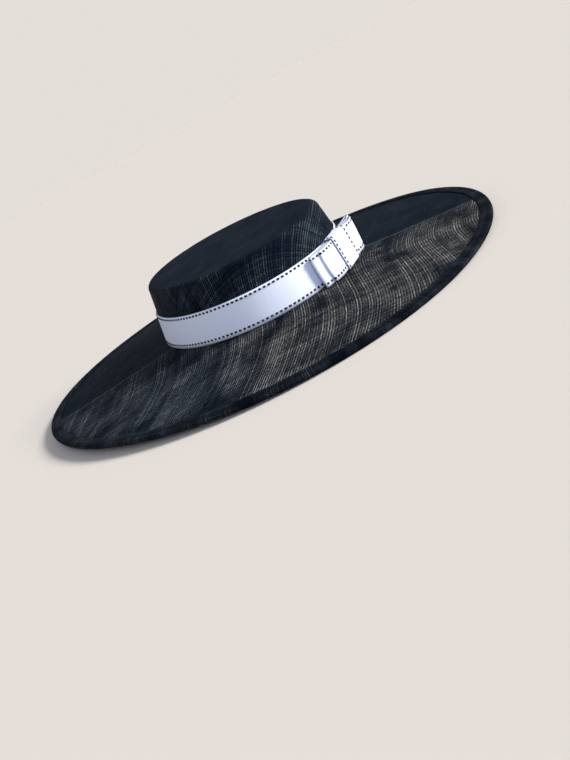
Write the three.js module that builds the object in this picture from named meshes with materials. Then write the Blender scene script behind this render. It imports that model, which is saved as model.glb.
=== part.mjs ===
// Straw boater hat with a wide brim, a ribbon band and a flat tailored bow.
// Millimetres, +Z up, -Y is the front of the hat, +X is the wearer's left.
// The origin is under the middle of the brim, on the surface that the hat rests on.
import * as THREE from "three";

// Driving dimensions: crown
const crownBaseWidth = 168;
const crownBaseLength = 199.6;
const crownTipWidth = 150.6;
const crownTipLength = 183.2;
const crownHeight = 47.6;
const crownCornerRadius = 4.3;
const crownWall = 1.2;

// Driving dimensions: brim
const brimDiameter = 400;
const brimDrop = 12.6;
const brimWall = 1.2;
const collarHeight = 12;
const collarBend = 1.5;
const sharpestCorner = 0.5;

// The edge of the brim rolls up at the sides and carries a faint third wave
const edgeRoll = 2.43;
const edgeRollTurn = 7.9;
const edgeWave = 0.43;
const edgeWaveTurn = -13.6;

// Driving dimensions: edge binding, ribbon band and bow
const bindingWidth = 9.5;
const bindingWall = 1;
const ribbonWidth = 25;
const ribbonWall = 1;
const bowTurn = -51.8;
const bowTilt = 3.2;
const bowRaise = 1.6;
const longLoopReach = 34.6;
const shortLoopReach = 27;
const wrapWidth = 22;
const loopDepth = 4.2;
const bowStandOff = 6.7;

// Room between pieces that touch on the real hat
const clearance = 0.3;

// Steps round the hat and along the curves
const stepsRound = 96;
const cornerSteps = 4;
const bendSteps = 2;
const bindingSteps = 4;
const loopSteps = 18;
const foldSteps = 4;
const wrapSteps = 6;
const wrapEndSteps = 3;
const arcSteps = 24;

// Rows of the brim between the crown and the binding, as shares of that way
const brimRows = [0.22, 0.44, 0.66, 0.84];

// How the bow lies, by its place along the long loop's reach. "lift" is the share of
// the stand-off by which a loop leaves the band, "belly" the share of the loop depth
// between its two layers, "upright" how far the ribbon stands up from the wall's slope.
const bowSections = [
  { along: -1.0, lift: 0.3, belly: 0.55, upright: 0.1 },
  { along: -0.7, lift: 0.26, belly: 0.84, upright: 0.12 },
  { along: -0.38, lift: 0.21, belly: 0.62, upright: 0.2 },
  { along: 0.0, lift: 0.21, belly: 0.5, upright: 0.35 },
  { along: 0.38, lift: 0.31, belly: 0.62, upright: 0.55 },
  { along: 0.7, lift: 0.55, belly: 0.84, upright: 0.8 },
  { along: 1.0, lift: 0.85, belly: 0.55, upright: 0.95 },
];

// Heights, all above the mean plane of the brim's edge
const brimRadius = brimDiameter / 2;
const crownBottom = brimDrop + clearance;
const crownTop = crownBottom + crownHeight;
const wallSlopeX = (crownBaseWidth - crownTipWidth) / 2 / crownHeight;
const wallSlopeY = (crownBaseLength - crownTipLength) / 2 / crownHeight;
const bandBottom = brimDrop + clearance;
const bandOffset = clearance + ribbonWall;
const bindingHalf = brimWall / 2 + clearance + bindingWall;

// Materials
const straw = new THREE.MeshStandardMaterial({ color: 0x1b1e29, roughness: 0.75, metalness: 0 });
const strawDark = new THREE.MeshStandardMaterial({ color: 0x12141c, roughness: 0.8, metalness: 0 });
const ribbon = new THREE.MeshStandardMaterial({ color: 0xe9ecf5, roughness: 0.6, metalness: 0 });

// A closed mesh through rings of points. A ring with one point is a pole, and a
// closed skin joins its last ring to its first. Faces are turned to point outward.
function skin(rings, closed) {
  const positions = [];
  const starts = rings.map((ring) => {
    const start = positions.length / 3;
    ring.forEach((point) => positions.push(point.x, point.y, point.z));
    return start;
  });
  const faces = [];
  const last = closed ? rings.length : rings.length - 1;
  for (let row = 0; row < last; row += 1) {
    const next = (row + 1) % rings.length;
    const count = Math.max(rings[row].length, rings[next].length);
    const corner = (ring, step) => starts[ring] + (rings[ring].length > 1 ? step % count : 0);
    for (let step = 0; step < count; step += 1) {
      const a = corner(row, step);
      const b = corner(row, step + 1);
      const c = corner(next, step + 1);
      const d = corner(next, step);
      if (a !== b) {
        faces.push([a, b, c]);
      }
      if (c !== d) {
        faces.push([a, c, d]);
      }
    }
  }
  const at = (index) => new THREE.Vector3().fromArray(positions, index * 3);
  const volume = faces.reduce((sum, [a, b, c]) => sum + at(a).dot(at(b).cross(at(c))), 0);
  const outward = volume < 0 ? faces.map(([a, b, c]) => [a, c, b]) : faces;
  const geometry = new THREE.BufferGeometry();
  geometry.setAttribute("position", new THREE.Float32BufferAttribute(positions, 3));
  geometry.setIndex(outward.flat());
  geometry.computeVertexNormals();
  return geometry;
}

// A point beside the crown's wall: angle round the hat, height, and how far it
// lies outside the wall's outer face
function besideWall(angle, height, offset) {
  const above = height - crownBottom;
  const halfX = crownBaseWidth / 2 - wallSlopeX * above + offset;
  const halfY = crownBaseLength / 2 - wallSlopeY * above + offset;
  return new THREE.Vector3(halfX * Math.cos(angle), halfY * Math.sin(angle), height);
}

// A ring of points round the hat
function ringOf(pointAt) {
  return Array.from({ length: stepsRound }, (_, step) => pointAt((step / stepsRound) * 2 * Math.PI));
}

// The crown is a shell, open below, with a flat tip and a rounded corner
function crownGeometry() {
  const half = (inset) => {
    const rings = [];
    const top = crownTop - inset;
    const radius = Math.max(crownCornerRadius - inset, sharpestCorner);
    const cornerBase = top - radius;
    rings.push(ringOf((angle) => besideWall(angle, crownBottom, -inset)));
    for (let step = 0; step <= cornerSteps; step += 1) {
      const turn = (step / cornerSteps) * (Math.PI / 2);
      rings.push(
        ringOf((angle) => {
          const foot = besideWall(angle, cornerBase, -inset - radius * (1 - Math.cos(turn)));
          foot.z = cornerBase + radius * Math.sin(turn);
          return foot;
        })
      );
    }
    rings.push([new THREE.Vector3(0, 0, top)]);
    return rings;
  };
  const outside = half(0);
  const inside = half(crownWall);
  return skin([...outside.reverse(), ...inside], false);
}

// The brim's middle surface, by the share of the way from the crown to the edge
function brimPoint(angle, share, lift) {
  const halfX = THREE.MathUtils.lerp(crownBaseWidth / 2, brimRadius, share);
  const halfY = THREE.MathUtils.lerp(crownBaseLength / 2, brimRadius, share);
  const rollTurn = THREE.MathUtils.degToRad(edgeRollTurn);
  const waveTurn = THREE.MathUtils.degToRad(edgeWaveTurn);
  const roll = edgeRoll * Math.cos(2 * (angle - rollTurn));
  const wave = edgeWave * Math.cos(3 * (angle - waveTurn));
  const warp = (roll + wave) * Math.max(share, 0) ** 2;
  const middle = (brimDrop - brimWall / 2) * (1 - share) + warp;
  return new THREE.Vector3(halfX * Math.cos(angle), halfY * Math.sin(angle), middle + lift);
}

// The share at which the brim is a given distance inside its outer edge
function brimShare(angle, fromEdge) {
  const whole = brimPoint(angle, 1, 0).setZ(0).distanceTo(brimPoint(angle, 0, 0).setZ(0));
  return 1 - fromEdge / whole;
}

// The brim slopes down to its edge and turns up into a collar inside the crown
function brimGeometry() {
  const halfWall = brimWall / 2;
  const collarOuter = -crownWall - clearance;
  const collarInner = collarOuter - brimWall;
  const collarTop = crownBottom + collarHeight;
  const edge = bindingWall + clearance;
  const shares = [...brimRows.map((row) => () => row), (angle) => brimShare(angle, bindingWidth)];
  const face = (lift) => [
    ...shares.map((share) => ringOf((angle) => brimPoint(angle, share(angle), lift))),
    ringOf((angle) => brimPoint(angle, brimShare(angle, edge), lift)),
  ];
  const upper = [
    ringOf((angle) => besideWall(angle, collarTop, collarOuter)),
    ringOf((angle) => besideWall(angle, brimDrop, collarOuter)),
    ringOf((angle) => brimPoint(angle, 0, halfWall)),
    ...face(halfWall),
  ];
  const bend = Array.from({ length: bendSteps + 1 }, (_, step) => {
    const turn = (step / bendSteps) * (Math.PI / 2);
    const height = brimDrop - brimWall + collarBend * (1 - Math.cos(turn));
    const offset = collarInner + collarBend * (1 - Math.sin(turn));
    return ringOf((angle) => besideWall(angle, height, offset));
  });
  const lower = [
    ...face(-halfWall).reverse(),
    ringOf((angle) => brimPoint(angle, 0, -halfWall)),
    ...bend,
    ringOf((angle) => besideWall(angle, collarTop, collarInner)),
  ];
  return skin([...upper, ...lower], true);
}

// The binding is a strip folded over the brim's edge
function bindingGeometry() {
  const inner = brimWall / 2 + clearance;
  const at = (fromEdge, lift) => ringOf((angle) => brimPoint(angle, brimShare(angle, fromEdge), lift));
  const rings = [at(bindingWidth, inner), at(bindingWidth, bindingHalf)];
  for (let step = 0; step <= bindingSteps; step += 1) {
    const turn = Math.PI / 2 - (step / bindingSteps) * Math.PI;
    rings.push(at(bindingHalf * (1 - Math.cos(turn)), bindingHalf * Math.sin(turn)));
  }
  rings.push(at(bindingWidth, -bindingHalf), at(bindingWidth, -inner));
  rings.push(at(bindingWall, -inner), at(bindingWall, inner));
  return skin(rings, true);
}

// The ribbon band stands round the foot of the crown
function hatbandGeometry() {
  const bandTop = bandBottom + ribbonWidth;
  const at = (height, offset) => ringOf((angle) => besideWall(angle, height, offset));
  return skin(
    [at(bandBottom, clearance), at(bandTop, clearance), at(bandTop, bandOffset), at(bandBottom, bandOffset)],
    true
  );
}

// One column of the bow's table at a distance along the bow, on a smooth curve
// whose slope at each row is that of the line between its neighbours
function bowValue(column, along) {
  const share = THREE.MathUtils.clamp(along / longLoopReach, -1, 1);
  const row = Math.max(1, bowSections.findIndex((section) => section.along >= share));
  const from = bowSections[row - 1];
  const to = bowSections[row];
  const slopeAt = (index) => {
    const before = bowSections[Math.max(index - 1, 0)];
    const after = bowSections[Math.min(index + 1, bowSections.length - 1)];
    return (after[column] - before[column]) / (after.along - before.along);
  };
  const span = to.along - from.along;
  const way = (share - from.along) / span;
  const start = from[column] * (1 + 2 * way) * (1 - way) ** 2;
  const end = to[column] * (3 - 2 * way) * way ** 2;
  const startBend = slopeAt(row - 1) * span * way * (1 - way) ** 2;
  const endBend = slopeAt(row) * span * (way - 1) * way ** 2;
  return start + end + startBend + endBend;
}

// The angle round the hat at a distance along the bow from its middle
function bowAngle(along) {
  const halfX = crownBaseWidth / 2 + bowStandOff / 2;
  const halfY = crownBaseLength / 2 + bowStandOff / 2;
  let angle = THREE.MathUtils.degToRad(bowTurn);
  for (let step = 0; step < arcSteps; step += 1) {
    angle += along / arcSteps / Math.hypot(halfX * Math.sin(angle), halfY * Math.cos(angle));
  }
  return angle;
}

// A point of the bow: distance along it, distance out from the crown's wall, and
// height above the lower edge of its loops
function bowPoint(along, out, rise) {
  const height = bandBottom + bowRaise + along * Math.tan(THREE.MathUtils.degToRad(bowTilt)) + rise;
  const straighten = bowValue("upright", along) * rise * wallSlopeX;
  return besideWall(bowAngle(along), height, out + straighten);
}

// Middle lines of the ribbon layers, as distances out from the crown's wall
const layerStep = ribbonWall + clearance;
const wrapBack = bandOffset + clearance + ribbonWall / 2;
const longBack = (along) => wrapBack + bowStandOff * bowValue("lift", along);
const longFront = (along) => longBack(along) + loopDepth * bowValue("belly", along);
const shortBack = (along) => longFront(along) + layerStep;
const shortFront = (along) => {
  const own = (along * longLoopReach) / shortLoopReach;
  return shortBack(along) + loopDepth * bowValue("belly", own);
};
const wrapFront = (along) => shortFront(along) + layerStep;

// A pair of loops is one closed ribbon, with a round fold at each end
function loopGeometry(back, front, reach) {
  const path = [];
  const layer = (line, from, to) => {
    for (let step = 0; step <= loopSteps; step += 1) {
      const along = THREE.MathUtils.lerp(from, to, step / loopSteps);
      path.push([along, line(along)]);
    }
  };
  const fold = (along, from, to, side) => {
    const radius = Math.abs(to - from) / 2;
    for (let step = 1; step < foldSteps; step += 1) {
      const turn = (step / foldSteps) * Math.PI;
      const out = THREE.MathUtils.lerp(from, to, (1 - Math.cos(turn)) / 2);
      path.push([along + side * radius * Math.sin(turn), out]);
    }
  };
  layer(back, -reach, reach);
  fold(reach, back(reach), front(reach), 1);
  layer(front, reach, -reach);
  fold(-reach, front(-reach), back(-reach), -1);
  const normals = path.map((_, index) => {
    const before = path[(index + path.length - 1) % path.length];
    const after = path[(index + 1) % path.length];
    const length = Math.hypot(after[0] - before[0], after[1] - before[1]);
    return [(after[1] - before[1]) / length, -(after[0] - before[0]) / length];
  });
  const ribbonEdge = (side, rise) =>
    path.map(([along, out], index) => {
      const [normalAlong, normalOut] = normals[index];
      const shift = (side * ribbonWall) / 2;
      return bowPoint(along + shift * normalAlong, out + shift * normalOut, rise);
    });
  return skin(
    [ribbonEdge(1, 0), ribbonEdge(1, ribbonWidth), ribbonEdge(-1, ribbonWidth), ribbonEdge(-1, 0)],
    true
  );
}

// The wrap is a closed ribbon round the middle of both pairs of loops
function wrapGeometry() {
  const below = -clearance - ribbonWall / 2;
  const above = ribbonWidth + clearance + ribbonWall / 2;
  const section = (along, side) => {
    const shift = (side * ribbonWall) / 2;
    const back = wrapBack - shift;
    const front = wrapFront(along) + shift;
    const low = below - shift;
    const high = above + shift;
    const round = clearance + ribbonWall / 2 + shift;
    const points = [];
    const corner = (out, rise, fromTurn) => {
      for (let step = 0; step <= wrapEndSteps; step += 1) {
        const turn = fromTurn + (step / wrapEndSteps) * (Math.PI / 2);
        points.push([out + round * Math.cos(turn), rise + round * Math.sin(turn)]);
      }
    };
    corner(front - round, high - round, 0);
    corner(back + round, high - round, Math.PI / 2);
    corner(back + round, low + round, Math.PI);
    corner(front - round, low + round, 1.5 * Math.PI);
    return points.map(([out, rise]) => bowPoint(along, out, rise));
  };
  const alongs = Array.from(
    { length: wrapSteps + 1 },
    (_, step) => (step / wrapSteps - 0.5) * wrapWidth
  );
  const outside = alongs.map((along) => section(along, 1));
  const inside = alongs.map((along) => section(along, -1));
  return skin([...outside, ...inside.reverse()], true);
}

// The hat, lifted so that the lowest point of its binding rests on z = 0
function buildHat() {
  const hat = new THREE.Group();
  const add = (name, geometry, material) => {
    const mesh = new THREE.Mesh(geometry, material);
    mesh.name = name;
    hat.add(mesh);
  };
  add("crown", crownGeometry(), straw);
  add("brim", brimGeometry(), straw.clone());
  add("brim_binding", bindingGeometry(), strawDark);
  add("hatband", hatbandGeometry(), ribbon);
  add("bow_long_loops", loopGeometry(longBack, longFront, longLoopReach), ribbon.clone());
  add("bow_short_loops", loopGeometry(shortBack, shortFront, shortLoopReach), ribbon.clone());
  add("bow_wrap", wrapGeometry(), ribbon.clone());
  hat.position.z = -new THREE.Box3().setFromObject(hat).min.z;
  hat.updateMatrixWorld(true);
  return hat;
}

export default buildHat();
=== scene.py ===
import math
import random

import bpy
from mathutils import Matrix, Vector, noise


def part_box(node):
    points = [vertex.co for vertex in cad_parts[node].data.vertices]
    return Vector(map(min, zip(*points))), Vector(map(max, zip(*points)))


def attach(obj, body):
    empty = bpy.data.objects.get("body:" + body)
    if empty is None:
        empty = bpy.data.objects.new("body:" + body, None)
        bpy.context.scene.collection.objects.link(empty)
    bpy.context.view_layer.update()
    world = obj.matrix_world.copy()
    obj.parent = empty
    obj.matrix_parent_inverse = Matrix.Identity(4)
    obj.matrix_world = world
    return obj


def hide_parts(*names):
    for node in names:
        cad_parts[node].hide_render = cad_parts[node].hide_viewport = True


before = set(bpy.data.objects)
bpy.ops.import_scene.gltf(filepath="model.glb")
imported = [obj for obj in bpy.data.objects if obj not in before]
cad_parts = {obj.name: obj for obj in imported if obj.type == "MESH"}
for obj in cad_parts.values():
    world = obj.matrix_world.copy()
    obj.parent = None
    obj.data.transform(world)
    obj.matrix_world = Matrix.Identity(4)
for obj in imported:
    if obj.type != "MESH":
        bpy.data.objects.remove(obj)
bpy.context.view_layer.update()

rng = random.Random(11)
MM = 0.001
TAU = 2 * math.pi

# The hat's sizes, read from the frame
crown_low, crown_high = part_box("crown")
band_low, band_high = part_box("hatband")
binding_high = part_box("brim_binding")[1]
base_half = (crown_high.x, crown_high.y)
crown_bottom = crown_low.z
crown_top = crown_high.z
crown_height = crown_top - crown_bottom
brim_radius = binding_high.x
ribbon_width = band_high.z - band_low.z
band_bottom = band_low.z

# Sizes that the frame doesn't give, the same as in the solids
tip_half = (75.3 * MM, 91.6 * MM)
corner_radius = 4.3 * MM
clearance = 0.3 * MM
solid_wall = 1.2 * MM
solid_ribbon = 1.0 * MM
brim_top_at_crown = crown_bottom - clearance
brim_drop = 12.6 * MM
edge_level = brim_top_at_crown - brim_drop
edge_roll, edge_roll_turn = 2.43 * MM, math.radians(7.9)
edge_wave, edge_wave_turn = 0.43 * MM, math.radians(-13.6)
collar_height = 12 * MM
collar_bend = 1.5 * MM
binding_width = 9.5 * MM
bow_turn = math.radians(-51.8)
bow_slope = math.tan(math.radians(3.2))
bow_raise = 1.6 * MM
bow_stand_off = 6.7 * MM
long_reach = 34.6 * MM
short_reach = 27 * MM
wrap_width = 22 * MM
wrap_back = clearance + solid_ribbon + clearance + solid_ribbon / 2
wrap_step = solid_ribbon + clearance
loop_depth = 4.2 * MM
wall_slope = tuple((base - tip) / crown_height for base, tip in zip(base_half, tip_half))

# How the bow lies along its reach, as in the solids: its lift as a share of bow_stand_off, the belly of
# its loops as a share of loop_depth, and how far it stands upright instead of leaning with the wall
bow_sections = [
    {"along": -1.0, "lift": 0.3, "belly": 0.55, "upright": 0.1},
    {"along": -0.7, "lift": 0.26, "belly": 0.84, "upright": 0.12},
    {"along": -0.38, "lift": 0.21, "belly": 0.62, "upright": 0.2},
    {"along": 0.0, "lift": 0.21, "belly": 0.5, "upright": 0.35},
    {"along": 0.38, "lift": 0.31, "belly": 0.62, "upright": 0.55},
    {"along": 0.7, "lift": 0.55, "belly": 0.84, "upright": 0.8},
    {"along": 1.0, "lift": 0.85, "belly": 0.55, "upright": 0.95},
]

# Sizes of the straw's finish. Hollows and dents are the lengths over which it is uneven, and the dents
# are shallower than the hollows by the share.
straw_wall = 0.9 * MM
brim_uneven, brim_hollows = 0.35 * MM, 45 * MM
brim_dents, brim_dent_share = 17 * MM, 0.3
crown_uneven, crown_hollows = 0.25 * MM, 30 * MM
binding_wall = 1.25 * MM
binding_gap = 0.15 * MM
binding_arch = 0.1 * MM
binding_sink = 0.8 * MM
binding_pucker = 0.12 * MM
binding_wander = 0.3 * MM

# Sizes of the ribbon's finish and its stitches. The short loops lie short_step in front of the long
# ones. A bulge is how far a loop's end swells at mid height, and cut_edge how far the middle of a
# ribbon's cut edge stands in or out.
ribbon_wall = 0.55 * MM
cut_edge = 0.02 * MM
band_ease = 0.12 * MM
band_steps = 240
short_step = 0.8 * MM
left_flatness = 0.6
long_bulge = 0.4 * MM
short_bulge = 1.6 * MM
wrap_round = 0.35 * MM
stitch_pitch = 3.75 * MM
stitch_length, stitch_length_spread = 2.6 * MM, 0.08
stitch_radius = 0.85 * MM
stitch_flatness = 0.5
stitch_tilt = 0.05
stitch_low = 2.5 * MM
stitch_high = 1.8 * MM
stitch_stand = 0.1 * MM
band_stitch_stand = 0.25 * MM

# The straw cloth's two sets of threads run at 60 and 166 degrees in plan. Its lower layer is turned a
# little against the upper one, and layer_shift keeps the patterns of the layers apart.
thread_normals = (math.radians(-30), math.radians(76))
layer_turns = (0.0, math.radians(7))
layer_shift = 1000.0

# On the brim the first set of threads bows to and fro
pull_width = 6.5 * MM
pull_from = 30 * MM
pull_length = 97 * MM

# How close the weave is, from 0 to 1: close behind the cloth's old fold, which runs with the second
# threads, half close towards the brim's -X side, the left as seen from the front, as painted shade that
# dims its light threads and narrows its holes, and close on the crown
fold_place, fold_blend = -31.5 * MM, 11 * MM
left_from, left_blend, left_shade_closeness = -40 * MM, 50 * MM, 0.52
tip_closeness = 0.97
wall_closeness = 0.75
binding_closeness = 0.4

# Colours
straw_black = (0.003, 0.006, 0.012, 1.0)
# The straw's light colours are painted highlights: lighter threads that stand in for light off the glossy
# threads and light seen through the weave, warm where the weave is open and cool where it is close
straw_painted_highlight = (0.5, 0.48, 0.43, 1.0)
straw_close_painted_highlight = (0.24, 0.32, 0.42, 1.0)
binding_black = (0.0018, 0.0032, 0.006, 1.0)
# The binding's light colours are painted highlights too, warm in the open weave and cool in the close
# weave
binding_painted_highlight = (0.09, 0.1, 0.12, 1.0)
binding_close_painted_highlight = (0.17, 0.21, 0.26, 1.0)
# The ribbon's white is tinted blue as painted cool shade, which shows on its shaded side
ribbon_white_painted_blue = (0.81, 0.85, 0.98, 1.0)
# Painted shade: the darker colour of the ribbon's inner side, inside the bow's loops and wrap
ribbon_painted_inside_shade = (0.3, 0.34, 0.42, 1.0)
thread_black = (0.002, 0.002, 0.003, 1.0)
thread_light = (0.01, 0.01, 0.014, 1.0)
floor_pale = (0.64, 0.585, 0.53, 1.0)
backdrop_pale = (0.777, 0.731, 0.697, 1.0)
no_colour = (0.0, 0.0, 0.0, 1.0)


# Mesh helpers

def mesh_object(name, points, faces, cloth, material):
    """A new smooth object from points and faces, with a cloth coordinate at each face corner."""
    mesh = bpy.data.meshes.new(name)
    mesh.from_pydata([tuple(p) for p in points], [], faces)
    mesh.update()
    layer = mesh.attributes.new("cloth", "FLOAT_VECTOR", "CORNER")
    layer.data.foreach_set("vector", [value for corner in cloth for value in corner])
    mesh.polygons.foreach_set("use_smooth", [True] * len(mesh.polygons))
    mesh.materials.append(material)
    piece = bpy.data.objects.new(name, mesh)
    bpy.context.scene.collection.objects.link(piece)
    return piece


def grid_mesh(rows, coords, close_rows, close_columns):
    """Quads between rows of points. coords gives the cloth coordinate by row and column, one past the
    end where a direction closes, so that the coordinate runs on over the seam."""
    height, width = len(rows), len(rows[0])
    points = [p for row in rows for p in row]
    faces, cloth = [], []
    for i in range(height if close_rows else height - 1):
        for j in range(width if close_columns else width - 1):
            corners = [(i, j), (i, j + 1), (i + 1, j + 1), (i + 1, j)]
            faces.append([(a % height) * width + b % width for a, b in corners])
            cloth.extend(coords(a, b) for a, b in corners)
    return points, faces, cloth


def facing_out(piece):
    """Turns the faces of a closed piece outward."""
    mesh = piece.data
    volume = 0
    for polygon in mesh.polygons:
        corners = [mesh.vertices[index].co for index in polygon.vertices]
        for step in range(1, len(corners) - 1):
            volume += corners[0].dot(corners[step].cross(corners[step + 1]))
    if volume < 0:
        mesh.flip_normals()
    return piece


def closed_piece(name, rows, coords, material):
    """A closed piece from rows of points that join up in both directions."""
    return facing_out(mesh_object(name, *grid_mesh(rows, coords, True, True), material))


def soft(point, size, amount, seed):
    """A small smooth unevenness at a point."""
    return amount * noise.noise(Vector((point[0] / size, point[1] / size, point[2] / size + seed)))


def point_runs(points):
    """Distances along a row of points in space, from its first."""
    runs = [0.0]
    for a, b in zip(points, points[1:]):
        runs.append(runs[-1] + (b - a).length)
    return runs


def path_runs(path):
    """Distances along a closed flat path, from its first point and round to it again."""
    runs = [0.0]
    for a, b in zip(path, path[1:] + path[:1]):
        runs.append(runs[-1] + math.hypot(b[0] - a[0], b[1] - a[1]))
    return runs


# Surfaces of the hat

def beside_wall(angle, height, offset):
    """A point beside the crown's wall: angle round the hat, height, and distance outside the wall."""
    above = height - crown_bottom
    half_x = base_half[0] - wall_slope[0] * above + offset
    half_y = base_half[1] - wall_slope[1] * above + offset
    return Vector((half_x * math.cos(angle), half_y * math.sin(angle), height))


def brim_point(angle, share, lift):
    """A point of the brim's middle surface, by the share of the way from the crown to the edge."""
    half_x = base_half[0] + (brim_radius - base_half[0]) * share
    half_y = base_half[1] + (brim_radius - base_half[1]) * share
    roll = edge_roll * math.cos(2 * (angle - edge_roll_turn))
    wave = edge_wave * math.cos(3 * (angle - edge_wave_turn))
    middle = (brim_drop - solid_wall / 2) * (1 - share) + (roll + wave) * max(share, 0) ** 2
    point = Vector((half_x * math.cos(angle), half_y * math.sin(angle), 0))
    fade = math.sin(math.pi * min(max(share, 0), 1)) ** 0.5
    uneven = soft(point, brim_hollows, brim_uneven, seed=3.1)
    uneven += soft(point, brim_dents, brim_uneven * brim_dent_share, seed=8.2)
    point.z = edge_level + middle + lift + uneven * fade
    return point


def brim_share(angle, from_edge):
    """The share at which the brim is a given distance inside its outer edge."""
    outer = Vector((brim_radius * math.cos(angle), brim_radius * math.sin(angle)))
    inner = Vector((base_half[0] * math.cos(angle), base_half[1] * math.sin(angle)))
    return 1 - from_edge / (outer - inner).length


# Node graph helper

class Graph:
    """Builds a material's nodes. Inputs are numbers or sockets."""

    def __init__(self, name):
        self.material = bpy.data.materials.new(name)
        self.material.use_nodes = True
        self.nodes = self.material.node_tree.nodes
        self.links = self.material.node_tree.links
        self.shader = self.nodes["Principled BSDF"]

    def node(self, kind, inputs, **settings):
        """A new node with its settings and inputs."""
        made = self.nodes.new(kind)
        for key, value in settings.items():
            setattr(made, key, value)
        for key, value in inputs.items():
            self.feed(made.inputs[key], value)
        return made

    def feed(self, socket, value):
        """Links another socket, or sets a constant on the socket itself."""
        if isinstance(value, bpy.types.NodeSocket):
            self.links.new(value, socket)
        else:
            socket.default_value = value

    def math(self, operation, *values, clamp=False):
        inputs = dict(enumerate(values))
        return self.node("ShaderNodeMath", inputs, operation=operation, use_clamp=clamp).outputs[0]

    def add(self, first, second):
        return self.math("ADD", first, second)

    def minus(self, first, second):
        return self.math("SUBTRACT", first, second)

    def times(self, first, second):
        return self.math("MULTIPLY", first, second)

    def scaled(self, value, factor, offset, clamp=False):
        return self.math("MULTIPLY_ADD", value, factor, offset, clamp=clamp)

    def odd(self, index):
        """1 where a whole number is odd and 0 where it is even."""
        return self.math("PINGPONG", index, 1.0)

    def vector(self, x, y, z):
        return self.node("ShaderNodeCombineXYZ", {0: x, 1: y, 2: z}).outputs[0]

    def noise(self, x, y, z, detail=1.0):
        inputs = {"Vector": self.vector(x, y, z), "Scale": 1.0, "Detail": detail}
        return self.node("ShaderNodeTexNoise", inputs).outputs["Fac"]

    def chance(self, index, seed):
        """A random number from 0 to 1 for each index."""
        inputs = {"Vector": self.vector(index, seed, 0.0)}
        return self.node("ShaderNodeTexWhiteNoise", inputs, noise_dimensions="2D").outputs["Value"]

    def blend(self, share, first, second):
        """A colour between two. Sockets 6 and 7 of the node are its colours, and output 2 the result."""
        return self.node("ShaderNodeMix", {0: share, 6: first, 7: second}, data_type="RGBA").outputs[2]

    def cloth(self):
        """The cloth coordinate as three sockets, the first two in millimetres."""
        made = self.node("ShaderNodeAttribute", {}, attribute_name="cloth")
        split = self.node("ShaderNodeSeparateXYZ", {0: made.outputs["Vector"]})
        return split.outputs[0], split.outputs[1], split.outputs[2]

    def bump(self, height, distance, strength):
        inputs = {"Height": height, "Distance": distance, "Strength": strength}
        return self.node("ShaderNodeBump", inputs).outputs[0]

    def finished(self, values):
        """The material, with the shader's sockets set or linked by name."""
        for key, value in values.items():
            self.feed(self.shader.inputs[key], value)
        return self.material


# Straw

def thread_width(graph, index, along, half_width, seed):
    """Half the width of each thread as a share of the pitch. Thick and thin threads come in clusters,
    and each swells and thins along its run."""
    cluster_step, cluster_along, cluster_amount = 0.21, 0.004, 0.9
    slub_step, slub_along, slub_amount = 3.7, 0.07, 0.5
    least = 0.3
    cluster = graph.noise(graph.times(index, cluster_step), seed + 3, graph.times(along, cluster_along))
    slub = graph.noise(graph.times(index, slub_step), graph.times(along, slub_along), seed + 7)
    swell = graph.add(graph.times(cluster, cluster_amount), graph.times(slub, slub_amount))
    return graph.times(half_width, graph.add(swell, least))


def thread_set(graph, across, along, pitch, half_width, seed):
    """One set of parallel threads, by spot: how far it is covered, its height, and its thread's tone and
    index. The threads drift to the side and stand unevenly."""
    drift_across, drift_along, drift_width = 0.011, 0.008, 8.0
    off_centre = 0.34
    sharpness = 14.0
    drift = graph.noise(graph.times(across, drift_across), graph.times(along, drift_along), seed)
    place = graph.times(graph.add(across, graph.times(drift, drift_width)), 1 / pitch)
    index = graph.math("FLOOR", place)
    inside = graph.minus(graph.minus(place, index), 0.5)
    centre = graph.times(graph.minus(graph.chance(index, seed), 0.5), off_centre)
    half = thread_width(graph, index, along, half_width, seed)
    near = graph.math("ABSOLUTE", graph.minus(inside, centre))
    share = graph.math("DIVIDE", near, half)
    round_top = graph.math("SUBTRACT", 1.0, graph.times(share, share), clamp=True)
    return {
        "cover": graph.scaled(graph.minus(half, near), sharpness, 0.5, clamp=True),
        "height": graph.math("SQRT", round_top),
        "tone": graph.chance(index, seed + 5),
        "index": index,
    }


def weave(graph, first, second):
    """The height of the woven threads, and where the first set is on top. Each thread dips under every
    other one of the other set."""
    dip = 0.4
    crossing = graph.odd(graph.add(first["index"], second["index"]))
    first_height = graph.times(first["height"], graph.scaled(crossing, dip, 1 - dip))
    second_height = graph.times(second["height"], graph.scaled(crossing, -dip, 1.0))
    height = graph.math("MAXIMUM", first_height, second_height)
    return height, graph.math("GREATER_THAN", first_height, second_height)


def fold_mark(graph, x, y, fleck):
    """A fine lighter line along the cloth's old fold, on the upper layer of the brim."""
    half_width, lightness = 0.6, 0.45
    beside = graph.math("ABSOLUTE", graph.add(y, -fold_place / MM))
    on_upper_brim = graph.math("LESS_THAN", x, layer_shift / 2)
    line = graph.times(graph.math("LESS_THAN", beside, half_width), graph.times(fleck, on_upper_brim))
    return graph.times(line, lightness)


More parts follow.
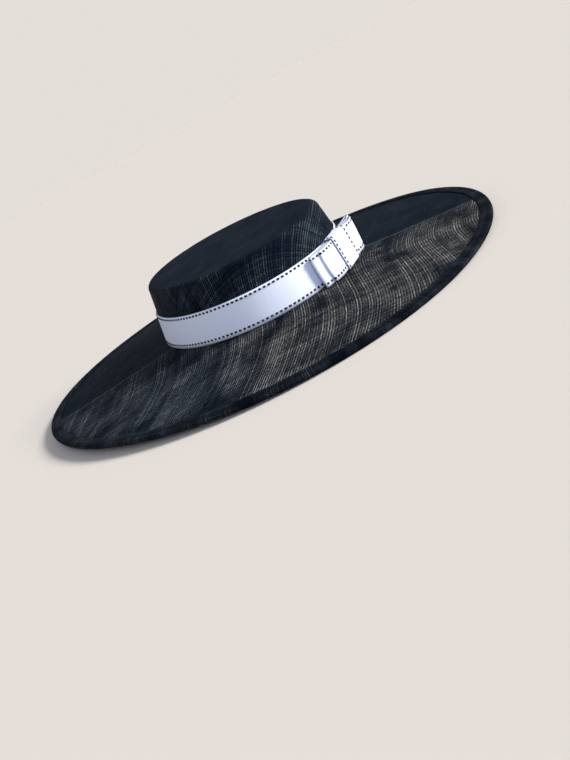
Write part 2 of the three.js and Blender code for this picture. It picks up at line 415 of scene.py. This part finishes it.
def painted_highlight_tone(graph, place, first, second, first_on_top):
    """How light the straw is, from 0 to 1, as painted highlights that stand in for light off the glossy
    threads and light seen through the weave.
    Every other thread is light, in cloudy flecked patches, and less so in the close weave."""
    x, y, close = place
    fleck_across, fleck_along = 0.9, 0.25
    fleck_contrast, fleck_offset = 2.6, -0.55
    cloud_across, cloud_along = 0.045, 0.03
    cloud_contrast, cloud_offset = 3.2, -1.15
    tone_range, least_tone, second_range = 1.1, 0.1, 0.8
    close_dimming = 0.9
    mottle_open, mottle_dimming = 0.13, 0.08
    fleck = graph.noise(graph.times(x, fleck_across), graph.times(y, fleck_along), 6.0, detail=2.0)
    cloud = graph.noise(graph.times(x, cloud_across), graph.times(y, cloud_along), 2.0, detail=3.0)
    patch = graph.scaled(cloud, cloud_contrast, cloud_offset, clamp=True)
    patch = graph.times(patch, graph.scaled(fleck, fleck_contrast, fleck_offset, clamp=True))
    first_patch = graph.times(graph.odd(first["index"]), patch)
    second_patch = graph.times(graph.odd(second["index"]), patch)
    first_tone = graph.times(first_patch, graph.scaled(first["tone"], tone_range, least_tone))
    second_tone = graph.times(second_patch, graph.times(second["tone"], second_range))
    first_seen = graph.times(first_on_top, first_tone)
    second_seen = graph.times(graph.minus(1.0, first_on_top), second_tone)
    tone = graph.add(first_seen, second_seen)
    tone = graph.times(tone, graph.scaled(close, -close_dimming, 1.0, clamp=True))
    both_light = graph.math("POWER", graph.times(first["tone"], second["tone"]), 2.0)
    mottle = graph.scaled(close, -mottle_dimming, mottle_open)
    mottle = graph.times(graph.times(both_light, fleck), mottle)
    return graph.math("MAXIMUM", graph.add(tone, mottle), fold_mark(graph, x, y, fleck))


def straw_material(name, pitch, half_width, dark, light, close_highlight, open_weave):
    """Woven straw, open between its threads if open_weave is set, with painted highlights on its lighter
    threads. The third cloth coordinate says how closely woven a spot is, from 0 to 1. The pitch is in
    millimetres, and half_width a share of it."""
    close_widening = 0.16
    second_pitch = pitch * 1.06
    graph = Graph(name)
    x, y, close = graph.cloth()
    half = graph.scaled(close, close_widening, half_width)
    first = thread_set(graph, x, y, pitch, half, seed=1.0)
    second = thread_set(graph, y, x, second_pitch, half, seed=11.0)
    height, first_on_top = weave(graph, first, second)
    tone = painted_highlight_tone(graph, (x, y, close), first, second, first_on_top)
    values = {
        # Painted highlights: the tone blends the dark threads toward the light colours
        "Base Color": graph.blend(tone, dark, graph.blend(close, light, close_highlight)),
        "Roughness": 0.5,
        "Specular IOR Level": 0.008,
        "Normal": graph.bump(height, 0.25 * MM, 0.8),
    }
    if open_weave:
        values["Alpha"] = graph.math("MAXIMUM", first["cover"], second["cover"])
    return graph.finished(values)


def cloth_at(x, y, layer, close, on_brim):
    """The cloth coordinate of one straw layer: millimetres across its two sets of threads, and how
    closely it is woven there."""
    first, second = (turn + layer_turns[layer] for turn in thread_normals)
    across_first = x * math.cos(first) + y * math.sin(first)
    across_second = x * math.cos(second) + y * math.sin(second)
    if on_brim:
        along_first = y * math.cos(first) - x * math.sin(first)
        across_first += pull_width * math.cos(math.pi * (along_first + pull_from) / pull_length)
    shifts = layer if on_brim else layer + len(layer_turns)
    return (across_first / MM + layer_shift * shifts, across_second / MM, close)


def brim_closeness(x, y):
    """Behind the cloth's old fold the brim is close, and in front of it open, less so on the -X side,
    where the closeness is painted shade.
    """
    turn = thread_normals[1]
    past = x * math.cos(turn) + y * math.sin(turn) - fold_place
    behind = min(max(0.5 + past / fold_blend, 0.0), 1.0)
    # Painted shade: the left of the brim is made closer, which darkens it
    left_shade = min(max((left_from - x) / left_blend, 0.0), 1.0) * left_shade_closeness
    return max(behind, left_shade)


def crown_point(part, share, angle, inset):
    """A point of the crown's skin at an inset from the outside, by the share of the way along its tip,
    corner or wall."""
    top = crown_top - inset
    radius = corner_radius - inset
    wall_top = top - radius
    if part == "tip":
        rim = beside_wall(angle, wall_top, -inset - radius)
        spot = Vector((rim.x * share, rim.y * share, top))
    elif part == "corner":
        turn = share * math.pi / 2
        spot = beside_wall(angle, wall_top, -inset - radius * (1 - math.sin(turn)))
        spot.z = wall_top + radius * math.cos(turn)
    else:
        spot = beside_wall(angle, wall_top + (crown_bottom - wall_top) * share, -inset)
    fade = 1 - share if part == "wall" else 1.0
    out = Vector((math.cos(angle), math.sin(angle), 1.0 if part == "tip" else 0.3))
    return spot + out * soft(spot, crown_hollows, crown_uneven, seed=5.7) * fade


def build_crown(material):
    """Two skins that join at the foot. The cloth lies flat on the tip and runs on down the wall."""
    around = 200
    steps = {"tip": 22, "corner": 8, "wall": 20}
    angles = [TAU * j / around for j in range(around)]
    rows = [(part, step / count) for part, count in steps.items() for step in range(1, count + 1)]
    skins = [
        [[crown_point(part, share, angle, inset) for angle in angles] for part, share in rows]
        for inset in (0.0, straw_wall)
    ]
    middles = [Vector((0, 0, skin[0][0].z)) for skin in skins]
    runs = [
        [point_runs([middle] + [row[j] for row in skin]) for j in range(around)]
        for skin, middle in zip(skins, middles)
    ]
    last = 2 * len(rows) - 1

    def skin_coords(layer, row, column):
        column %= around
        first = skins[layer][0][column]
        heading = math.atan2(first.y, first.x)
        run = runs[layer][column][row + 1]
        close = tip_closeness if row < steps["tip"] else wall_closeness
        return cloth_at(run * math.cos(heading), run * math.sin(heading), layer, close, False)

    def coords(row, column):
        return skin_coords(0, row, column) if row < len(rows) else skin_coords(1, last - row, column)

    points, faces, cloth = grid_mesh(skins[0] + skins[1][::-1], coords, False, True)
    for layer, row in enumerate((0, last)):
        middle = len(points)
        points.append(middles[layer])
        for j in range(around):
            pair = (j, j + 1) if layer else (j + 1, j)
            faces.append([middle] + [row * around + column % around for column in pair])
            cloth.append(cloth_at(0, 0, layer, tip_closeness, False))
            cloth.extend(skin_coords(layer, 0, column) for column in pair)
    return facing_out(mesh_object("crown_straw", points, faces, cloth, material))


def build_brim(material):
    """The brim's upper and lower side, and the collar that turns up inside the crown."""
    around = 288
    radial = 44
    half = straw_wall / 2
    edge = binding_wall + clearance
    collar_outer = -solid_wall - clearance
    collar_inner = collar_outer - straw_wall
    collar_top = crown_bottom + collar_height
    top_fold = brim_top_at_crown - solid_wall / 2 + half
    bottom_fold = top_fold - straw_wall
    fold_gap = 0.4 * MM
    bend_middle = collar_bend * 0.3

    def sheet(share, lift):
        return lambda angle: brim_point(angle, brim_share(angle, edge) * share, lift)

    def collar(offset, height):
        return lambda angle: beside_wall(angle, height, offset)

    shares = [step / radial for step in range(radial + 1)]
    upper = [sheet(share, half) for share in shares]
    lower = [sheet(share, -half) for share in reversed(shares)]
    collar_inside = [
        collar(collar_inner + collar_bend, bottom_fold),
        collar(collar_inner + bend_middle, bottom_fold + bend_middle),
        collar(collar_inner, bottom_fold + collar_bend),
        collar(collar_inner, bottom_fold + (collar_top - bottom_fold) / 2),
        collar(collar_inner, collar_top),
    ]
    collar_outside = [
        collar(collar_outer, collar_top),
        collar(collar_outer, top_fold + (collar_top - top_fold) / 2),
        collar(collar_outer, top_fold + fold_gap),
    ]
    builders = upper + lower + collar_inside + collar_outside
    layers = [0] * len(upper) + [1] * len(lower + collar_inside) + [0] * len(collar_outside)
    grid = [[builder(TAU * j / around) for j in range(around)] for builder in builders]

    def coords(i, j):
        row = i % len(grid)
        spot = grid[row][j % around]
        on_collar = row >= len(upper + lower)
        rise = max(spot.z - top_fold, 0) if on_collar else 0
        distance = math.hypot(spot.x, spot.y)
        shrink = (distance - rise) / distance
        close = brim_closeness(spot.x, spot.y)
        return cloth_at(spot.x * shrink, spot.y * shrink, layers[row], close, True)

    return closed_piece("brim_straw", grid, coords, material)


def binding_profile():
    """The binding's section as (distance from the edge, lift) points: the upper leg, the fold round the
    edge, the lower leg, and back along the inside."""
    inner = straw_wall / 2 + binding_gap
    outer = inner + binding_wall
    lip = binding_width + binding_gap
    leg_steps = 7
    fold_steps = 12

    def leg_lift(distance):
        share = (distance - outer) / (binding_width - outer)
        return outer + binding_arch * math.sin(math.pi * share) - binding_sink * share ** 2

    leg = [outer + (binding_width - outer) * step / leg_steps for step in range(leg_steps + 1)]
    turns = [math.pi / 2 - step / fold_steps * math.pi for step in range(1, fold_steps)]
    lip_lift = (leg_lift(binding_width) + inner) / 2
    profile = [(distance, leg_lift(distance)) for distance in reversed(leg)]
    profile += [(outer * (1 - math.cos(turn)), outer * math.sin(turn)) for turn in turns]
    profile += [(distance, -leg_lift(distance)) for distance in leg]
    profile += [(lip, -lip_lift), (binding_width, -inner), (binding_wall, -inner)]
    profile += [(binding_wall, inner), (binding_width, inner), (lip, lip_lift)]
    return profile


def build_binding(material):
    """The strip round the brim's edge, slightly puckered, with an uneven inner edge."""
    around = 360
    puckers, pucker_along, pucker_across = 171, 9, 200
    wander_waves = 6
    loose_from = binding_width * 0.8
    profile = binding_profile()
    runs = path_runs(profile)

    def point(distance, lift, angle):
        pucker_place = Vector((angle * pucker_along, distance * pucker_across, 1))
        pucker = math.sin(angle * puckers) * noise.noise(pucker_place)
        wander = noise.noise(Vector((math.cos(angle) * wander_waves, math.sin(angle) * wander_waves, 2.5)))
        reach = distance + (binding_wander * wander if distance > loose_from else 0)
        lift += math.copysign(binding_pucker * pucker, lift)
        return brim_point(angle, brim_share(angle, reach), lift)

    grid = [[point(distance, lift, TAU * j / around) for j in range(around)] for distance, lift in profile]

    def coords(i, j):
        return (brim_radius * TAU * j / around / MM, runs[i] / MM, binding_closeness)

    return closed_piece("binding_strip", grid, coords, material)


# Ribbon

def darker(colour, share):
    return tuple(value * share for value in colour[:3]) + (1.0,)


def ribbon_material(name, base):
    """White grosgrain: ribs across the ribbon, finer threads along it, and faint clouds. The third cloth
    coordinate is 1 on the ribbon's inner side, which is painted dark as shade. The pitches are in
    millimetres."""
    rib_pitch, thread_pitch = 0.85, 0.32
    rib_height, thread_height, uneven_height = 0.8, 0.12, 0.5
    uneven_along, uneven_across, uneven_cloud = 0.35, 0.12, 0.35
    cloud_waves, cloud_amount, cloud_shade = 0.05, 0.5, 0.9
    groove_amount, groove_shade = 0.1, 0.72
    graph = Graph(name)
    along, across, painted_inside_shade = graph.cloth()
    rib = graph.scaled(graph.math("SINE", graph.times(along, TAU / rib_pitch)), 0.5, 0.5)
    fine = graph.math("SINE", graph.times(across, TAU / thread_pitch))
    uneven_place = (graph.times(along, uneven_along), graph.times(across, uneven_across), 4.0)
    uneven = graph.noise(*uneven_place, detail=3.0)
    cloud = graph.noise(graph.times(along, cloud_waves), graph.times(across, cloud_waves), 9.0, detail=2.0)
    cloud = graph.scaled(cloud, cloud_amount, graph.times(uneven, uneven_cloud), clamp=True)
    # Painted shade: the grooves between the ribs are darker
    groove_painted_shade = graph.scaled(rib, -groove_amount, groove_amount)
    face = graph.blend(cloud, base, darker(base, cloud_shade))
    face = graph.blend(groove_painted_shade, face, darker(base, groove_shade))
    height = graph.add(graph.times(rib, rib_height), graph.times(fine, thread_height))
    height = graph.add(height, graph.times(uneven, uneven_height))
    return graph.finished({
        "Base Color": graph.blend(painted_inside_shade, face, ribbon_painted_inside_shade),
        "Roughness": 0.55,
        "Specular IOR Level": 0.3,
        "Sheen Weight": 0.15,
        "Normal": graph.bump(height, 0.12 * MM, 0.7),
    })


def thread_material(name):
    """Black sewing thread with a twist."""
    twist_along, twist_around = 9.0, 6.0
    graph = Graph(name)
    along, around, _ = graph.cloth()
    turned = graph.add(graph.times(along, twist_along), graph.times(around, twist_around))
    twist = graph.math("SINE", turned)
    tone = graph.scaled(twist, 0.3, 0.5, clamp=True)
    return graph.finished({
        "Base Color": graph.blend(tone, thread_black, thread_light),
        "Roughness": 0.6,
        "Normal": graph.bump(twist, 0.05 * MM, 0.6),
    })


def ribbon_piece(name, grid, sides, runs, painted_shade_below, material):
    """A ribbon from its grid of points. sides gives each row's place across the ribbon and its shift out
    of it, and rows shifted below the given level show the inner side, painted dark as shade."""

    def coords(i, j):
        across, shift = sides[i % len(sides)]
        return (runs[j] / MM, across / MM, 1.0 if shift < painted_shade_below else 0.0)

    return closed_piece(name, grid, coords, material)


def band_runs():
    """Distances round the hatband at each of its steps, on the crown's wall at half the band's height."""
    height = band_bottom + ribbon_width / 2
    angles = [TAU * j / band_steps for j in range(band_steps + 1)]
    return point_runs([beside_wall(angle, height, clearance) for angle in angles])


def build_hatband(material):
    """The ribbon round the foot of the crown, which stands off the wall a little unevenly."""
    levels = 10
    inner = clearance
    outer = inner + ribbon_wall
    middle = (inner + outer) / 2
    top = band_bottom + ribbon_width
    ease_round, ease_up = 5, 40

    def point(angle, height, offset):
        ease = 0
        if offset > inner:
            place = Vector((math.cos(angle) * ease_round, math.sin(angle) * ease_round, height * ease_up))
            ease = band_ease * (1 + noise.noise(place))
        return beside_wall(angle, height, offset + ease)

    profile = [(band_bottom + ribbon_width * step / levels, outer) for step in range(levels + 1)]
    profile.append((top - cut_edge, middle))
    profile += [(top - ribbon_width * step / 2, inner) for step in range(3)]
    profile.append((band_bottom + cut_edge, middle))
    grid = [
        [point(TAU * j / band_steps, height, offset) for j in range(band_steps)]
        for height, offset in profile
    ]
    return ribbon_piece("hatband_ribbon", grid, profile, band_runs(), 0.0, material)


# Bow, by the same rules as the solids, apart from the short loops, which lie closer to the long ones
# and are flatter on the left

def bow_value(column, along):
    """A column of the bow's sections at a distance along it, on a smooth curve through the sections."""
    share = min(max(along / long_reach, -1), 1)
    row = 1
    while bow_sections[row]["along"] < share:
        row += 1
    start, end = bow_sections[row - 1], bow_sections[row]

    def slope(index):
        before = bow_sections[max(index - 1, 0)]
        after = bow_sections[min(index + 1, len(bow_sections) - 1)]
        return (after[column] - before[column]) / (after["along"] - before["along"])

    span = end["along"] - start["along"]
    way = (share - start["along"]) / span
    value = start[column] * (1 + 2 * way) * (1 - way) ** 2 + end[column] * (3 - 2 * way) * way ** 2
    value += slope(row - 1) * span * way * (1 - way) ** 2
    return value + slope(row) * span * (way - 1) * way ** 2


def bow_angle(along):
    """The angle round the hat at a distance along the bow."""
    half_x = base_half[0] + bow_stand_off / 2
    half_y = base_half[1] + bow_stand_off / 2
    angle = bow_turn
    steps = 24
    for _ in range(steps):
        angle += along / steps / math.hypot(half_x * math.sin(angle), half_y * math.cos(angle))
    return angle


def bow_point(along, out, rise):
    """A point of the bow: distance along it, out from the wall, and up from its lower edge."""
    height = band_bottom + bow_raise + along * bow_slope + rise
    straighten = bow_value("upright", along) * rise * wall_slope[0]
    return beside_wall(bow_angle(along), height, out + straighten)


# Each layer's middle line: its distance out from the wall, at a distance along the bow

def long_back(along):
    return wrap_back + bow_stand_off * bow_value("lift", along)


def long_front(along):
    return long_back(along) + loop_depth * bow_value("belly", along)


def short_back(along):
    return long_front(along) + short_step


def short_front(along):
    """The short loop on the left, as seen from outside, grows flatter towards its end than the other."""
    depth = loop_depth * bow_value("belly", along * long_reach / short_reach)
    flatten = 1 - left_flatness * min(max(-along / short_reach, 0), 1)
    return short_back(along) + depth * flatten


def wrap_front(along):
    return short_front(along) + wrap_step


def loop_path(back, front, reach):
    """The middle line of a pair of loops, as (along, out) points."""
    layer_steps = 40
    fold_steps = 10
    path = []

    def layer(line, start, end):
        for step in range(layer_steps + 1):
            along = start + (end - start) * step / layer_steps
            path.append((along, line(along)))

    def fold(along, start, end, side):
        radius = abs(end - start) / 2
        for step in range(1, fold_steps):
            turn = step / fold_steps * math.pi
            out = start + (end - start) * (1 - math.cos(turn)) / 2
            path.append((along + side * radius * math.sin(turn), out))

    layer(back, -reach, reach)
    fold(reach, back(reach), front(reach), 1)
    layer(front, reach, -reach)
    fold(-reach, front(-reach), back(-reach), -1)
    return path


def path_normals(path):
    """The outward direction at each point of a closed path, as (along, out)."""
    normals = []
    for index in range(len(path)):
        before = path[index - 1]
        after = path[(index + 1) % len(path)]
        length = math.hypot(after[0] - before[0], after[1] - before[1])
        normals.append(((after[1] - before[1]) / length, -(after[0] - before[0]) / length))
    return normals


def loop_spot(path, normals, index, rise, shift, bulge):
    """A point of a loop, whose ends swell a little at mid height."""
    along, out = path[index]
    normal_along, normal_out = normals[index]
    middle = 1 - (2 * rise / ribbon_width - 1) ** 2
    swell = bulge * middle * (abs(along) / long_reach) ** 2 * math.copysign(1, along)
    return bow_point(along + swell + shift * normal_along, out + shift * normal_out, rise)


def build_loops(name, back, front, reach, bulge, material):
    """A closed ribbon that forms a loop on the left and one on the right."""
    levels = 12
    half = ribbon_wall / 2
    path = loop_path(back, front, reach)
    normals = path_normals(path)
    rises = [ribbon_width * step / levels for step in range(levels + 1)]
    sides = [(rise, half) for rise in rises] + [(ribbon_width - cut_edge, 0)]
    sides += [(rise, -half) for rise in reversed(rises)] + [(cut_edge, 0)]
    grid = [
        [loop_spot(path, normals, index, rise, shift, bulge) for index in range(len(path))]
        for rise, shift in sides
    ]
    return ribbon_piece(name, grid, sides, path_runs(path), half, material)


def wrap_section(along, shift):
    """The wrap's section across the bow at a distance along it, as (out, rise) points: four rounded
    corners with straight stretches between them."""
    corner_steps = 5
    tall_steps, short_steps = 10, 4
    below = -clearance - solid_ribbon / 2
    above = ribbon_width + clearance + solid_ribbon / 2
    back, front = wrap_back - shift, wrap_front(along) + shift
    low, high = below - shift, above + shift
    radius = clearance + solid_ribbon / 2 + shift + wrap_round
    centres = [
        (front - radius, high - radius),
        (back + radius, high - radius),
        (back + radius, low + radius),
        (front - radius, low + radius),
    ]
    points = []
    for quarter, centre in enumerate(centres):
        for step in range(corner_steps + 1):
            turn = (quarter + step / corner_steps) * math.pi / 2
            points.append((centre[0] + radius * math.cos(turn), centre[1] + radius * math.sin(turn)))
        following = centres[(quarter + 1) % 4]
        start = points[-1]
        end = (following[0] + radius * math.cos(turn), following[1] + radius * math.sin(turn))
        count = tall_steps if quarter in (1, 3) else short_steps
        for step in range(1, count):
            points.append(tuple(a + (b - a) * step / count for a, b in zip(start, end)))
    return points


def build_wrap(material):
    """The closed ribbon round the middle of the bow."""
    columns = 14
    half = ribbon_wall / 2
    alongs = [(step / columns - 0.5) * wrap_width for step in range(columns + 1)]
    sides = [(along, half) for along in alongs] + [(alongs[-1] + cut_edge, 0)]
    sides += [(along, -half) for along in reversed(alongs)] + [(alongs[0] - cut_edge, 0)]
    grid = [
        [bow_point(along, out, rise) for out, rise in wrap_section(along, shift)]
        for along, shift in sides
    ]
    return ribbon_piece("bow_wrap_ribbon", grid, sides, path_runs(wrap_section(0, 0)), half, material)


# Stitches

def stitch_parts(middle, direction, outward):
    """One stitch as points, faces and cloth coordinates: a short flat thread whose round ends sink in."""
    around = 8
    end_sink = stitch_radius * 0.5
    end_rings = [(1.0, 0.12), (0.92, 0.55), (0.7, 0.9), (0.3, 1.0)]
    rings = end_rings + [(-place, size) for place, size in reversed(end_rings)]
    side = direction.cross(outward).normalized()
    half = stitch_length / 2 * rng.uniform(1 - stitch_length_spread, 1 + stitch_length_spread)
    heading = (direction + side * rng.uniform(-stitch_tilt, stitch_tilt)).normalized()

    def ring_point(place, size, turn):
        centre = middle + heading * (place * half) - outward * (abs(place) ** 3 * end_sink)
        reach = side * math.cos(turn) + outward * (math.sin(turn) * stitch_flatness)
        return centre + reach * (stitch_radius * size)

    def coords(i, j):
        return (rings[i][0] * half / MM, j / around, 0.0)

    rows = [[ring_point(*ring, TAU * step / around) for step in range(around)] for ring in rings]
    points, faces, cloth = grid_mesh(rows, coords, False, True)
    for row, order in ((0, -1), (len(rings) - 1, 1)):
        faces.append([row * around + j for j in range(around)][::order])
        cloth += [coords(row, 0)] * around
    return points, faces, cloth


def stitch_mesh(name, spots, material):
    """All stitches of a ribbon. Each spot is (middle, direction, outward)."""
    points, faces, cloth = [], [], []
    for spot in spots:
        stitch_points, stitch_faces, stitch_cloth = stitch_parts(*spot)
        faces += [[len(points) + index for index in face] for face in stitch_faces]
        points += stitch_points
        cloth += stitch_cloth
    return mesh_object(name, points, faces, cloth, material)


def spots_along(curve):
    """Stitch places at the stitch pitch along a list of (point, outward)."""
    runs = point_runs([point for point, _ in curve])
    count = max(1, round(runs[-1] / stitch_pitch))
    spots = []
    index = 0
    for number in range(count):
        target = (number + 0.5) * runs[-1] / count
        while runs[index + 1] < target:
            index += 1
        way = (target - runs[index]) / (runs[index + 1] - runs[index])
        (a, out_a), (b, out_b) = curve[index], curve[index + 1]
        spots.append((a.lerp(b, way), (b - a).normalized(), out_a.lerp(out_b, way).normalized()))
    return spots


def band_stitches(material):
    steps = 720
    offset = clearance + ribbon_wall + band_stitch_stand
    spots = []
    for height in (band_bottom + stitch_low, band_bottom + ribbon_width - stitch_high):
        curve = []
        for j in range(steps + 1):
            angle = TAU * j / steps
            outward = Vector((math.cos(angle) / base_half[0], math.sin(angle) / base_half[1], 0))
            curve.append((beside_wall(angle, height, offset), outward.normalized()))
        spots += spots_along(curve)
    return stitch_mesh("hatband_stitches", spots, material)


def raised(inside, outside):
    """A closed curve of (point, outward) from points in the ribbon and the same points outside it."""
    curve = [(b, (b - a).normalized()) for a, b in zip(inside, outside)]
    return curve + curve[:1]


def loop_stitches(name, back, front, reach, bulge, material):
    path = loop_path(back, front, reach)
    normals = path_normals(path)
    shifts = (0, ribbon_wall / 2 + stitch_stand)
    spots = []
    for rise in (stitch_low, ribbon_width - stitch_high):
        inside, outside = (
            [loop_spot(path, normals, index, rise, shift, bulge) for index in range(len(path))]
            for shift in shifts
        )
        spots += spots_along(raised(inside, outside))
    return stitch_mesh(name, spots, material)


def wrap_stitches(material):
    shifts = (0, ribbon_wall / 2 + stitch_stand)
    spots = []
    for along in (-wrap_width / 2 + stitch_high, wrap_width / 2 - stitch_high):
        inside, outside = ([bow_point(along, *spot) for spot in wrap_section(along, s)] for s in shifts)
        spots += spots_along(raised(inside, outside))
    return stitch_mesh("bow_wrap_stitches", spots, material)


# Stage, lights and camera

def stage_material():
    return Graph("pale_stage").finished({
        "Base Color": floor_pale,
        "Roughness": 0.85,
        "Specular IOR Level": 0.0,
    })


def backdrop_material():
    """Glows as pale as the lit floor looks, so that the floor runs on into it."""
    return Graph("pale_backdrop").finished({
        "Base Color": no_colour,
        "Specular IOR Level": 0.0,
        "Emission Color": backdrop_pale,
        "Emission Strength": 1.0,
    })


def round_stage(name, profile, material):
    """A stage piece turned round the hat, from a profile of radius and height, seen from inside."""
    around = 96
    turns = [TAU * j / around for j in range(around)]
    rows = [[Vector((r * math.cos(turn), r * math.sin(turn), z)) for turn in turns] for r, z in profile]
    points, faces, cloth = grid_mesh(rows, lambda i, j: (0.0, 0.0, 0.0), False, True)
    faces = [face[::-1] for face in faces]
    piece = mesh_object(name, points, faces, cloth, material)
    return piece


def build_stage():
    """A wide round floor, and a pale backdrop that curves up from its edge and lights nothing."""
    floor_radius, bend, wall, overlap = 12.0, 4.0, 4.0, 0.1
    pin_hole = 0.0001
    steps = 16
    shares = [step / steps for step in range(steps + 1)]
    floor_profile = [(max(floor_radius * share ** 2, pin_hole), 0.0) for share in shares]
    round_stage("stage_floor", floor_profile, stage_material())
    turns = [share * math.pi / 2 for share in shares]
    backdrop_profile = [(floor_radius - overlap, -overlap)]
    backdrop_profile += [(floor_radius + bend * math.sin(t), bend * (1 - math.cos(t))) for t in turns]
    backdrop_profile.append((floor_radius + bend, bend + wall))
    backdrop = round_stage("stage_backdrop", backdrop_profile, backdrop_material())
    backdrop.visible_diffuse = False
    backdrop.visible_glossy = False
    backdrop.visible_transmission = False
    backdrop.visible_shadow = False


def far_light(name, place, softness, strength, colour):
    """A large soft light far away, on the side of the hat that place lies on. Softness is in degrees."""
    data = bpy.data.lights.new(name, "SUN")
    data.angle = math.radians(softness)
    data.energy = strength
    data.color = colour
    light = bpy.data.objects.new(name, data)
    light.location = place
    light.rotation_euler = (-Vector(place)).to_track_quat("-Z", "Y").to_euler()
    bpy.context.scene.collection.objects.link(light)


def build_lights():
    far_light("key_light", (2.05, -0.85, 1.22), softness=20, strength=5.0, colour=(1.0, 0.985, 0.97))
    far_light("fill_light", (-0.2, -2.0, 1.1), softness=24, strength=0.8, colour=(0.6, 0.72, 1.0))
    far_light("side_light", (-2.0, -0.5, 0.9), softness=24, strength=0.12, colour=(1.0, 0.93, 0.85))
    sky_colour, sky_strength = (0.84, 0.9, 1.0, 1.0), 0.44
    world = bpy.data.worlds.new("studio")
    world.use_nodes = True
    background = world.node_tree.nodes["Background"]
    background.inputs["Color"].default_value = sky_colour
    background.inputs["Strength"].default_value = sky_strength
    bpy.context.scene.world = world
    bpy.context.scene.view_settings.view_transform = "Standard"


# The photograph's camera, as seen from the hat: its turn, height and roll in radians, where the middle
# of the brim's edge plane lies in its view, and its focal length in pixels of a picture 760 pixels high
view_turn, view_height, view_roll = -0.2151, 0.3406, 0.5001
hat_in_view = Vector((-18.16, -62.41, 672.63)) * MM
focal_pixels, picture_height = 800, 760
sensor_width = 36


def build_camera():
    level = math.cos(view_height)
    to_camera = Vector((math.sin(view_turn) * level, -math.cos(view_turn) * level, math.sin(view_height)))
    level_right = Vector((math.cos(view_turn), math.sin(view_turn), 0))
    level_down = (-to_camera).cross(level_right)
    right = math.cos(view_roll) * level_right + math.sin(view_roll) * level_down
    down = -math.sin(view_roll) * level_right + math.cos(view_roll) * level_down
    axes = Matrix((right, -down, to_camera)).transposed()
    place = -(right * hat_in_view.x + down * hat_in_view.y - to_camera * hat_in_view.z)
    place.z += edge_level
    data = bpy.data.cameras.new("camera")
    data.sensor_width = sensor_width
    data.lens = focal_pixels / picture_height * sensor_width
    data.clip_start = 0.01
    camera = bpy.data.objects.new("camera", data)
    camera.matrix_world = Matrix.Translation(place) @ axes.to_4x4()
    bpy.context.scene.collection.objects.link(camera)
    bpy.context.scene.camera = camera


# The hat

def build_hat():
    straw_colours = (straw_black, straw_painted_highlight, straw_close_painted_highlight)
    binding_colours = (binding_black, binding_painted_highlight, binding_close_painted_highlight)
    straw = straw_material("sheer_straw", 0.98, 0.26, *straw_colours, open_weave=True)
    bound = straw_material("binding_straw", 0.8, 0.3, *binding_colours, open_weave=False)
    ribbon = ribbon_material("white_grosgrain", ribbon_white_painted_blue)
    thread = thread_material("saddle_stitch_thread")
    band = build_hatband(ribbon)
    band_thread = band_stitches(thread)
    long_line = (long_back, long_front, long_reach)
    long_loops = build_loops("bow_long_ribbon", *long_line, long_bulge, ribbon)
    long_thread = loop_stitches("bow_long_stitches", *long_line, long_bulge, thread)
    short_line = (short_back, short_front, short_reach)
    short_loops = build_loops("bow_short_ribbon", *short_line, short_bulge, ribbon)
    short_thread = loop_stitches("bow_short_stitches", *short_line, short_bulge, thread)
    wrap = build_wrap(ribbon)
    wrap_thread = wrap_stitches(thread)
    long_length = path_runs(loop_path(*long_line))[-1]
    short_length = path_runs(loop_path(*short_line))[-1]
    wrap_length = path_runs(wrap_section(0, 0))[-1]
    pieces = [
        (build_crown(straw), "straw", "crown"),
        (build_brim(straw), "straw", "brim"),
        (build_binding(bound), "straw_binding", "brim_binding"),
        (band, "ribbon", "hatband"),
        (long_loops, "ribbon", "bow_long_loops"),
        (short_loops, "ribbon", "bow_short_loops"),
        (wrap, "ribbon", "bow_wrap"),
        (band_thread, "straw_binding", None),
        (long_thread, "straw_binding", None),
        (short_thread, "straw_binding", None),
        (wrap_thread, "straw_binding", None),
    ]
    for piece, slot, node in pieces:
        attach(piece, "root")
        if node:
            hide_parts(node)


build_stage()
build_lights()
build_camera()
build_hat()
